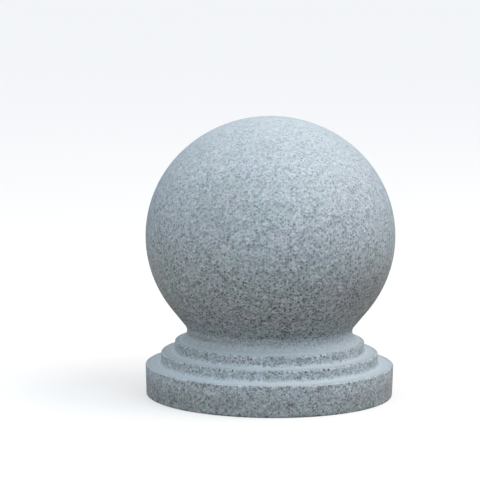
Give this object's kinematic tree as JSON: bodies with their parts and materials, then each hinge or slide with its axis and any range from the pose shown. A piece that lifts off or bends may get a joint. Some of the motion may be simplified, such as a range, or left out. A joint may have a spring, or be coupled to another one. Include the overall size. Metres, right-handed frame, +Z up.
{
  "type": "stone pier ball",
  "caption": "Solid granite ball finial on a coved neck, low round steps and a round base disc, for the top of a gate pier or post. Flat underneath.",
  "frame": {"origin": "middle of the flat underside", "axes": "+Z up the stone's own axis, from the underside to the crown; the stone is round, so +X and +Y are any two level directions"},
  "size_m": [0.25, 0.25, 0.28],
  "materials": {
    "granite": "honed, fine grained, grey with dark specks"
  },
  "bodies": {
    "root": {"pier_ball": "granite"}
  },
  "joints": []
}
